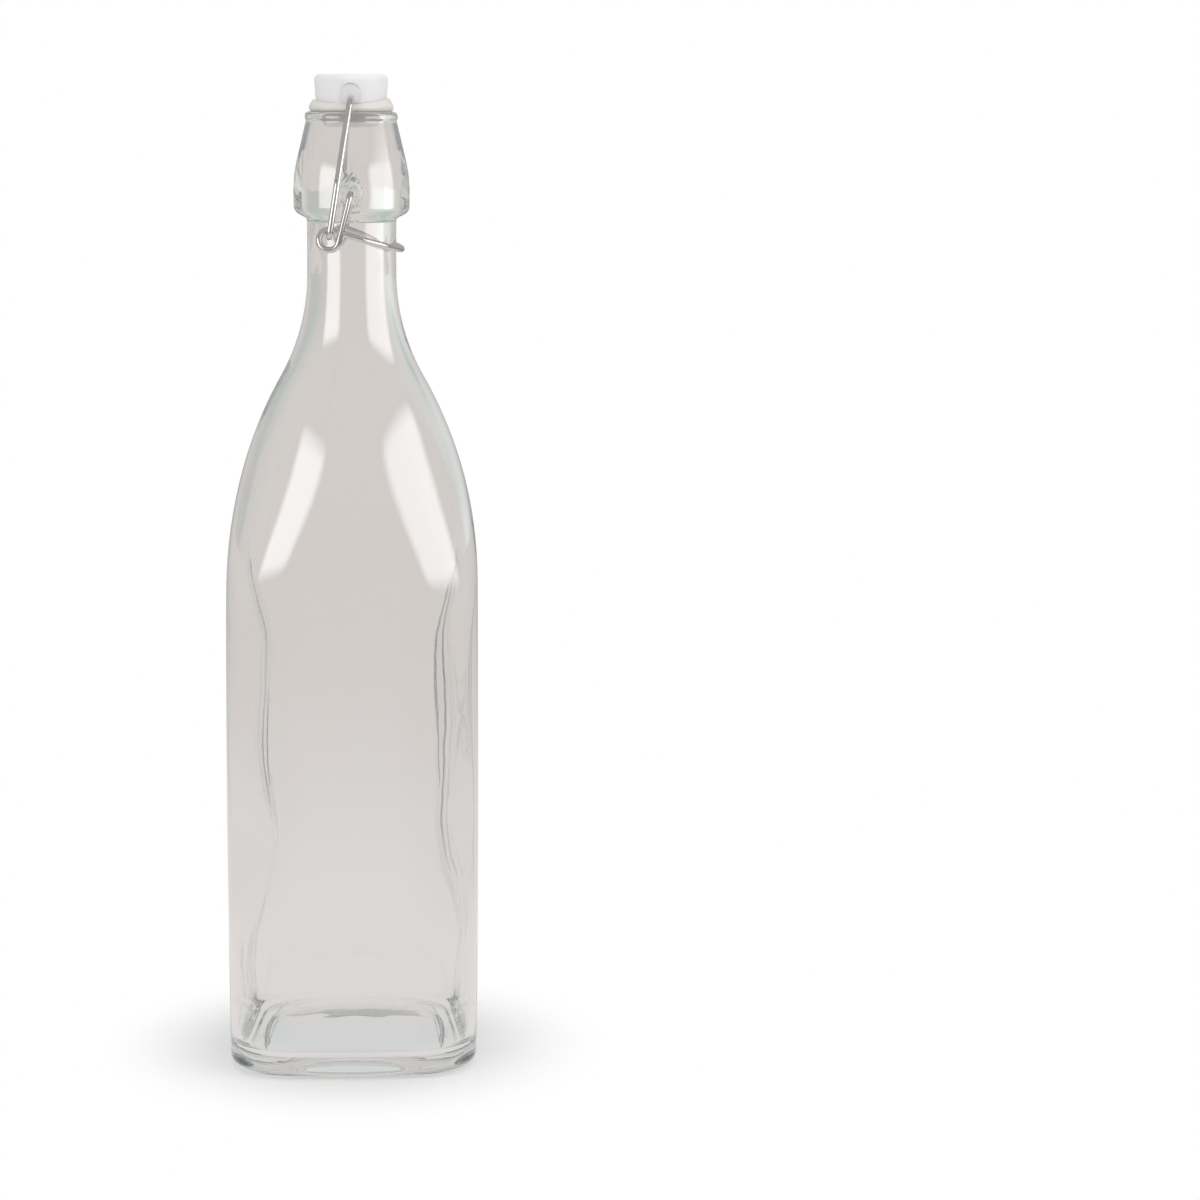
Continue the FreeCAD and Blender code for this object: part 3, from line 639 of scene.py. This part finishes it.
def addToneMix(tree, factor, low, high):  # a colour between two tones, each a constant or another node's
    mix = tree.nodes.new("ShaderNodeMix")
    mix.data_type = "RGBA"
    for socket, tone in ((mix.inputs["A"], low), (mix.inputs["B"], high)):
        if isinstance(tone, tuple):
            socket.default_value = (*tone, 1)
        else:
            tree.links.new(tone, socket)
    tree.links.new(factor, mix.inputs["Factor"])
    return mix.outputs["Result"]


def addShaderMix(tree, factor, first, second):  # two shaders mixed on the surface
    mix = tree.nodes.new("ShaderNodeMixShader")
    tree.links.new(factor, mix.inputs["Fac"])
    tree.links.new(first, mix.inputs[1])
    tree.links.new(second, mix.inputs[2])
    tree.links.new(mix.outputs["Shader"], outputNode(tree).inputs["Surface"])


def makeGrainGroup():  # fine moulded unevenness: a mask from noise, for tone, gloss and relief
    group = bpy.data.node_groups.new("mouldGrain", "ShaderNodeTree")
    group.interface.new_socket("Vector", in_out="INPUT", socket_type="NodeSocketVector")
    for name, usual in (("Scale", 400.0), ("Detail", 3.0)):
        socket = group.interface.new_socket(name, in_out="INPUT", socket_type="NodeSocketFloat")
        socket.default_value = usual
    group.interface.new_socket("Mask", in_out="OUTPUT", socket_type="NodeSocketFloat")
    start = group.nodes.new("NodeGroupInput")
    end = group.nodes.new("NodeGroupOutput")
    noise = group.nodes.new("ShaderNodeTexNoise")
    noise.inputs["Roughness"].default_value = 0.55
    for name in ("Vector", "Scale", "Detail"):
        group.links.new(start.outputs[name], noise.inputs[name])
    group.links.new(noise.outputs["Fac"], end.inputs["Mask"])
    return group


grainGroup = makeGrainGroup()
grainSpan = (0.3, 0.7)  # the part of the mask's range that noise fills


def addGrain(tree, vector, scale, detail):
    grain = tree.nodes.new("ShaderNodeGroup")
    grain.node_tree = grainGroup
    grain.inputs["Scale"].default_value = scale
    grain.inputs["Detail"].default_value = detail
    tree.links.new(vector, grain.inputs["Vector"])
    return grain.outputs["Mask"]


def addRelief(tree, mask, shader, strength, distance):
    bump = tree.nodes.new("ShaderNodeBump")
    bump.inputs["Strength"].default_value = strength
    bump.inputs["Distance"].default_value = distance
    tree.links.new(mask, bump.inputs["Height"])
    tree.links.new(bump.outputs["Normal"], shader.inputs["Normal"])


# finishes: each grain is a scale and a detail, each relief a strength and a distance

glassFinish = {
    "tone": (0.985, 0.995, 0.99), "ior": 1.51, "ripple": (60.0, 1.5), "relief": (0.2, 0.0004),
    "shadowTone": (0.94, 0.945, 0.945),  # light that passes on to the floor
    "depthTone": (0.56, 0.63, 0.62), "depth": 4.5,  # faint green of thick places
}
plasticFinish = {
    "tones": ((0.88, 0.872, 0.88), (0.92, 0.912, 0.918)), "cloud": (120.0, 2.0),
    "roughness": (0.40, 0.54), "gloss": (900.0, 3.0), "relief": (0.10, 0.0001), "skin": (1800.0, 2.0),
    "milk": 0.25, "milkReach": (0.004, 0.004, 0.004), "milkScale": 0.6, "ior": 1.49,
}
rubberFinish = {
    "tones": ((0.76, 0.735, 0.69), (0.84, 0.82, 0.78)), "cloud": (160.0, 3.0),
    "roughness": (0.42, 0.60), "gloss": (700.0, 3.0), "relief": (0.18, 0.0001), "skin": (1300.0, 3.0),
    "milk": 0.2, "milkReach": (0.003, 0.0028, 0.0024), "milkScale": 0.6, "ior": 1.5,
}
steelFinish = {
    "tones": ((0.66, 0.655, 0.65), (0.76, 0.755, 0.745)), "patches": (260.0, 3.0),
    "roughness": (0.06, 0.13), "relief": (0.01, 0.000015),
    "lines": (3.0, 4.0), "stretch": (0.6, 26.0, 1.0),  # drawn lines along the wire
}


def makeGlassMaterial(finish):  # clear soda glass that absorbs a little along the light's way
    material, tree, shader = newMaterial("clearGlass")
    shader.inputs["Base Color"].default_value = (*finish["tone"], 1)
    shader.inputs["Roughness"].default_value = 0.0
    shader.inputs["IOR"].default_value = finish["ior"]
    shader.inputs["Transmission Weight"].default_value = 1.0
    addRelief(tree, addGrain(tree, objectPlace(tree), *finish["ripple"]), shader, *finish["relief"])
    clear = tree.nodes.new("ShaderNodeBsdfTransparent")
    clear.inputs["Color"].default_value = (*finish["shadowTone"], 1)
    shadow = addLightPath(tree)["Is Shadow Ray"]
    addShaderMix(tree, shadow, shader.outputs["BSDF"], clear.outputs["BSDF"])
    absorb = tree.nodes.new("ShaderNodeVolumeAbsorption")
    absorb.inputs["Color"].default_value = (*finish["depthTone"], 1)
    absorb.inputs["Density"].default_value = finish["depth"]
    tree.links.new(absorb.outputs["Volume"], outputNode(tree).inputs["Volume"])
    return material


def makeMouldedMaterial(name, finish):  # cloudy tone, uneven gloss and a fine skin that lets in some light
    material, tree, shader = newMaterial(name)
    place = objectPlace(tree)
    tone = addToneMix(tree, addGrain(tree, place, *finish["cloud"]), *finish["tones"])
    tree.links.new(tone, shader.inputs["Base Color"])
    gloss = addRange(tree, addGrain(tree, place, *finish["gloss"]), *grainSpan, *finish["roughness"])
    tree.links.new(gloss, shader.inputs["Roughness"])
    addRelief(tree, addGrain(tree, place, *finish["skin"]), shader, *finish["relief"])
    shader.inputs["Subsurface Weight"].default_value = finish["milk"]
    shader.inputs["Subsurface Radius"].default_value = finish["milkReach"]
    shader.inputs["Subsurface Scale"].default_value = finish["milkScale"]
    shader.inputs["IOR"].default_value = finish["ior"]
    return material


def makeWireMaterial(finish):  # drawn steel: fine lines along the wire from its own map, small dull patches
    material, tree, shader = newMaterial("drawnSteel")
    stretch = tree.nodes.new("ShaderNodeMapping")
    stretch.inputs["Scale"].default_value = finish["stretch"]
    tree.links.new(ownMap(tree), stretch.inputs["Vector"])
    lines = addGrain(tree, stretch.outputs["Vector"], *finish["lines"])
    patches = addGrain(tree, objectPlace(tree), *finish["patches"])
    tree.links.new(addToneMix(tree, patches, *finish["tones"]), shader.inputs["Base Color"])
    tree.links.new(addRange(tree, patches, *grainSpan, *finish["roughness"]), shader.inputs["Roughness"])
    addRelief(tree, lines, shader, *finish["relief"])
    shader.inputs["Metallic"].default_value = 1.0
    return material


plastic = makeMouldedMaterial("whitePlastic", plasticFinish)
steel = makeWireMaterial(steelFinish)
dress(glassPiece, makeGlassMaterial(glassFinish))
dress(leverPiece, steel)
dress(bailPiece, steel)
dress(gasketPiece, makeMouldedMaterial("creamRubber", rubberFinish))
dress(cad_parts["stopper"], plastic)
dress(webPiece, plastic)
print("materials set")


# studio: pale floor, white background, soft lamps and two tall light panels, lengths in metres

white = (1.0, 1.0, 1.0)
studio = {
    "floorSize": 8.0, "floorDrop": 0.0002, "floorTone": (0.93, 0.93, 0.93), "floorRoughness": 0.9,
    "clearRange": (0.03, 0.085),  # distances between which the floor turns into plain white
    "throughTone": (0.683, 0.631, 0.612),  # grey backdrop as it shows through the glass
    "leftTone": (0.53, 0.53, 0.515), "rightTone": (0.80, 0.81, 0.80),  # surroundings at the sides
    "upperTone": (0.47, 0.54, 0.52),  # dimmer and greener high at the sides
    "underShadowTone": (0.66, 0.67, 0.68), "underShadowRange": (0.025, 0.045),  # painted shadow on the floor under the hollow base, as the glass shows it
    "footLightTone": (0.745, 0.700, 0.695), "footLightRange": (0.05, 0.7),  # painted light: the floor close behind the bottle is lighter than the backdrop's grey, as the glass shows it
    "nearMirrorLight": (0.80, 0.79, 0.78), "farMirrorShade": (0.32, 0.31, 0.31),  # floor as glass and wire mirror it, with painted light near the bottle and painted shade far off
    "mirrorLightRange": (0.1, 1.0),
    "satinMirror": (0.48, 0.47, 0.46),  # how bright the satin wire sees the studio
    "frontDark": 0.24, "backMirror": 0.45,  # how bright glass mirrors the studio before and behind it
    "backTurn": (-0.75, 0.35),  # direction ranges of the backdrop's tones, this one and the next four
    "sideTurn": (-0.2, 0.2), "upperTurn": (0.0, 0.3), "sideReach": (0.06, 0.55), "behindTurn": (0.1, 0.35),
    "worldLight": 0.45,
    "bounces": 200,  # light runs far inside thick glass
}
lampAim = (0, 0, 0.16)
lamps = [
    {"name": "leftLamp", "place": (-1.1, -1.0, 1.3), "size": (0.9, 0.9), "power": 9.4},
    {"name": "rightLamp", "place": (1.3, -0.5, 1.2), "size": (0.9, 0.9), "power": 9.4},
    {"name": "topLamp", "place": (0.1, 0.2, 1.9), "size": (1.4, 1.4), "power": 6.0},
]
panels = [  # soft is the faded share at each edge, satin the share of the glow that satin surfaces see
    {"name": "leftPanel", "azimuth": -47.0, "distance": 0.30, "size": (0.235, 0.215), "height": 0.297,
     "glow": 7.0, "soft": 0.22, "satin": 0.34},
    {"name": "rightPanel", "azimuth": 63.0, "distance": 0.30, "size": (0.39, 0.26), "height": 0.297,
     "glow": 6.2, "soft": 0.22, "satin": 0.34},
]


def putCard(name, centre, across, upward, uv=None):  # flat card from its middle and two half sides
    signs = np.array([(-1, -1), (1, -1), (1, 1), (-1, 1)])
    points = centre + signs[:, :1] * across + signs[:, 1:] * upward
    return putMesh(name, points, np.array([[0, 1, 2, 3]]), uv=uv)


def makeFloor(s):  # shaded near the bottle, plain white far off, and the backdrop's grey through the glass, with painted shadow under the base and painted light close behind it, and painted light and shade for mirrors
    half = s["floorSize"] / 2
    centre = np.array([0, 0, -s["floorDrop"]])
    floor = putCard("floor", centre, np.array([half, 0, 0]), np.array([0, half, 0]))
    material, tree, shader = newMaterial("paleFloor")
    shader.inputs["Base Color"].default_value = (*s["floorTone"], 1)
    shader.inputs["Roughness"].default_value = s["floorRoughness"]
    shader.inputs["Specular IOR Level"].default_value = 0.0
    path = addLightPath(tree)
    length = tree.nodes.new("ShaderNodeVectorMath")
    length.operation = "LENGTH"
    tree.links.new(objectPlace(tree), length.inputs[0])
    distance = length.outputs["Value"]
    # painted light: for rays through the glass, the floor close behind the bottle is lighter and fades to the
    # backdrop's grey
    behind = addToneMix(tree, addRamp(tree, distance, *s["footLightRange"]), s["footLightTone"], s["throughTone"])
    # painted shadow: for rays through the glass, the floor under the hollow base is darker
    behind = addToneMix(tree, addRamp(tree, distance, *s["underShadowRange"]), s["underShadowTone"], behind)
    # painted light and shade on the floor for mirrors: bright near the bottle, dim far off
    mirrorTone = addToneMix(tree, addRamp(tree, distance, *s["mirrorLightRange"]), s["nearMirrorLight"], s["farMirrorShade"])
    tone = addToneMix(tree, path["Is Glossy Ray"], white, mirrorTone)
    tone = addToneMix(tree, path["Is Transmission Ray"], tone, behind)
    glow = tree.nodes.new("ShaderNodeEmission")
    tree.links.new(tone, glow.inputs["Color"])
    far = addRamp(tree, distance, *s["clearRange"])
    seen = addMath(tree, "MULTIPLY", path["Is Camera Ray"], far)
    plain = addMath(tree, "MAXIMUM", path["Is Transmission Ray"], path["Is Glossy Ray"])
    share = addMath(tree, "MAXIMUM", seen, plain)
    addShaderMix(tree, share, shader.outputs["BSDF"], glow.outputs["Emission"])
    dress(floor, material)


def makeWorld(s):  # white to the camera, and tones by direction for mirrors and for the view through glass
    world = bpy.data.worlds.new("studio")
    bpy.context.scene.world = world
    world.use_nodes = True
    tree = world.node_tree
    tree.nodes.clear()
    path = addLightPath(tree)
    split = tree.nodes.new("ShaderNodeSeparateXYZ")
    tree.links.new(tree.nodes.new("ShaderNodeTexCoord").outputs["Generated"], split.inputs["Vector"])
    x, y, z = split.outputs
    mirrorTone = addRamp(tree, y, *s["backTurn"], s["frontDark"], s["backMirror"])  # dim on the camera's side
    mirrorTone = addToneMix(tree, path["Is Singular Ray"], s["satinMirror"], mirrorTone)
    sideTone = addToneMix(tree, addRamp(tree, x, *s["sideTurn"]), s["leftTone"], s["rightTone"])
    upper = addToneMix(tree, addRamp(tree, z, *s["upperTurn"]), sideTone, s["upperTone"])
    behind = addRamp(tree, y, *s["behindTurn"])  # straight from the side the backdrop stays plain
    aside = addRamp(tree, addMath(tree, "ABSOLUTE", x, 0), *s["sideReach"])
    throughTone = addToneMix(tree, addMath(tree, "MULTIPLY", aside, behind), s["throughTone"], upper)
    light = (s["worldLight"], s["worldLight"], s["worldLight"])
    shown = addToneMix(tree, path["Is Glossy Ray"], light, mirrorTone)
    shown = addToneMix(tree, path["Is Transmission Ray"], shown, throughTone)
    shown = addToneMix(tree, path["Is Camera Ray"], shown, white)
    background = tree.nodes.new("ShaderNodeBackground")
    output = tree.nodes.new("ShaderNodeOutputWorld")
    tree.links.new(shown, background.inputs["Color"])
    tree.links.new(background.outputs["Background"], output.inputs["Surface"])


def makeLamp(lamp, aim):
    data = bpy.data.lights.new(lamp["name"], "AREA")
    data.shape = "RECTANGLE"
    data.size, data.size_y = lamp["size"]
    data.energy = lamp["power"]
    lampObject = bpy.data.objects.new(lamp["name"], data)
    bpy.context.scene.collection.objects.link(lampObject)
    place = Vector(lamp["place"])
    facing = (Vector(aim) - place).to_track_quat("-Z", "Y").to_matrix().to_4x4()
    lampObject.matrix_world = Matrix.Translation(place) @ facing
    lampObject.visible_glossy = False
    lampObject.visible_transmission = False
    lampObject.visible_camera = False


def makePanel(panel):  # upright glowing card that only mirrors see, faded to its edges
    angle = math.radians(panel["azimuth"])
    toward = np.array([math.sin(angle), -math.cos(angle), 0])
    aside = np.array([math.cos(angle), math.sin(angle), 0])
    width, height = panel["size"]
    centre = toward * panel["distance"] + np.array([0, 0, panel["height"]])
    corners = np.array([(0, 0), (1, 0), (1, 1), (0, 1)])
    card = putCard(panel["name"], centre, aside * width / 2, np.array([0, 0, height / 2]), corners)
    material, tree, shader = newMaterial(panel["name"])
    tree.nodes.remove(shader)
    split = tree.nodes.new("ShaderNodeSeparateXYZ")
    tree.links.new(ownMap(tree), split.inputs["Vector"])
    fades = []
    for axis in "XY":
        fromEdge = addMath(tree, "PINGPONG", split.outputs[axis], 0.5)
        fades.append(addRamp(tree, fromEdge, 0.0, panel["soft"]))
    singular = addLightPath(tree)["Is Singular Ray"]
    level = addRamp(tree, singular, 0.0, 1.0, panel["glow"] * panel["satin"], panel["glow"])
    glow = tree.nodes.new("ShaderNodeEmission")
    strength = addMath(tree, "MULTIPLY", addMath(tree, "MULTIPLY", *fades), level)
    tree.links.new(strength, glow.inputs["Strength"])
    tree.links.new(glow.outputs["Emission"], outputNode(tree).inputs["Surface"])
    dress(card, material)
    card.visible_camera = False
    card.visible_diffuse = False
    card.visible_shadow = False
    card.visible_transmission = False


makeFloor(studio)
makeWorld(studio)
for lamp in lamps:
    makeLamp(lamp, lampAim)
for panel in panels:
    makePanel(panel)
scene = bpy.context.scene
scene.view_settings.view_transform = "Standard"
scene.cycles.max_bounces = studio["bounces"]
scene.cycles.glossy_bounces = studio["bounces"]
scene.cycles.transmission_bounces = studio["bounces"]
print("studio set")
